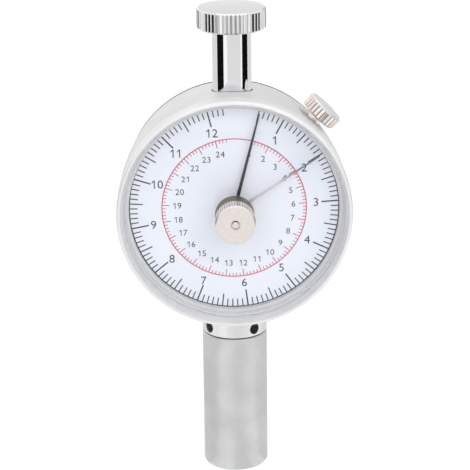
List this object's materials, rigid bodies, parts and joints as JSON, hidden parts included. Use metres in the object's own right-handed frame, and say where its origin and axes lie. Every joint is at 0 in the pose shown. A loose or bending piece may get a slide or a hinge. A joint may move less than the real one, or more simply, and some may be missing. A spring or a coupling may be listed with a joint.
{
  "type": "fruit hardness tester",
  "caption": "Hand-held fruit hardness tester: a spring-loaded plunger with a knurled head drives the hand of a round dial on a plain handle, and a drag hand with its own knob keeps the peak.",
  "frame": {"origin": "centre of the flat end of the handle, on the plunger's axis", "axes": "+Z along the plunger's axis from the handle to the knurled head, -Y out of the dial towards its reader, +X to the reader's right"},
  "size_m": [0.06, 0.0362, 0.1252],
  "materials": {
    "case_satin": "fine satin, silver",
    "handle_satin": "satin turned",
    "collar_bright": "bright turned",
    "cover_black": "semi-gloss black",
    "chrome": "polished",
    "head_nickel": "bright nickel plate",
    "knob_nickel": "bright nickel plate",
    "steel": "machined",
    "spring_steel": "drawn wire",
    "brass": "machined",
    "crystal_glass": "clear",
    "dial_ring_grey": "frosted",
    "dial_white": "satin white",
    "hand_black": "satin black",
    "hand_silver": "satin"
  },
  "bodies": {
    "case": {"case_body": "case_satin", "back_cover": "cover_black", "back_cover_screws": "steel", "neck_tube": "steel", "neck_collar": "collar_bright", "handle_tube": "handle_satin", "load_spring": "spring_steel", "spring_washer": "steel", "upper_bush": "brass", "lower_bush": "brass", "movement_plate": "brass", "plate_screws": "steel", "arbor_bush": "brass", "arbor_bridge": "brass", "bridge_pillars": "brass", "bridge_screws": "steel", "snap_ring": "spring_steel"},
    "bezel": {"bezel": "case_satin", "crystal": "crystal_glass", "dial_ring": "dial_ring_grey", "dial_plate": "dial_white", "stem_bush": "brass"},
    "reset": {"reset_stem": "chrome", "reset_knob": "knob_nickel", "knob_screw": "knob_nickel", "drag_hand": "hand_silver"},
    "hand": {"pinion_arbor": "steel", "drive_hand": "hand_black", "hand_hub": "brass"},
    "plunger": {"plunger_rod": "chrome", "plunger_head": "head_nickel", "rack": "steel", "rack_screws": "steel", "spring_seat": "steel", "seat_nut": "steel"},
    "lock_screw": {"lock_screw": "knob_nickel"},
    "lock_shoe": {"lock_shoe": "brass"}
  },
  "joints": [
    {"name": "plunger_slide", "type": "slide", "parent": "case", "child": "plunger", "axis": [0, 0, -1], "range_m": [0, 0.01156], "stiffness_N_per_m": 9760, "springref_m": -0.0005, "deforming": ["load_spring"]},
    {"name": "hand_turn", "type": "hinge", "parent": "case", "child": "hand", "pos_m": [0, 0, 0.07433], "axis": [0, 1, 0], "range_deg": [0, 331.2]},
    {"name": "bezel_turn", "type": "hinge", "parent": "case", "child": "bezel", "pos_m": [0, 0, 0.07433], "axis": [0, 1, 0], "continuous": true},
    {"name": "reset_turn", "type": "hinge", "parent": "bezel", "child": "reset", "pos_m": [0, 0, 0.07433], "axis": [0, 1, 0], "continuous": true},
    {"name": "lock_turn", "type": "hinge", "parent": "case", "child": "lock_screw", "pos_m": [0.02164, -0.0022, 0.09666], "axis": [-0.6959, 0, -0.7181], "range_deg": [0, 240]},
    {"name": "lock_slide", "type": "slide", "parent": "case", "child": "lock_shoe", "axis": [0.6959, 0, 0.7181], "range_m": [0, 0.0003]}
  ],
  "couplings": [
    {"joint": "hand_turn", "follows": "plunger_slide", "rad_per_m": 500},
    {"joint": "lock_turn", "follows": "lock_slide", "rad_per_m": 13963}
  ]
}
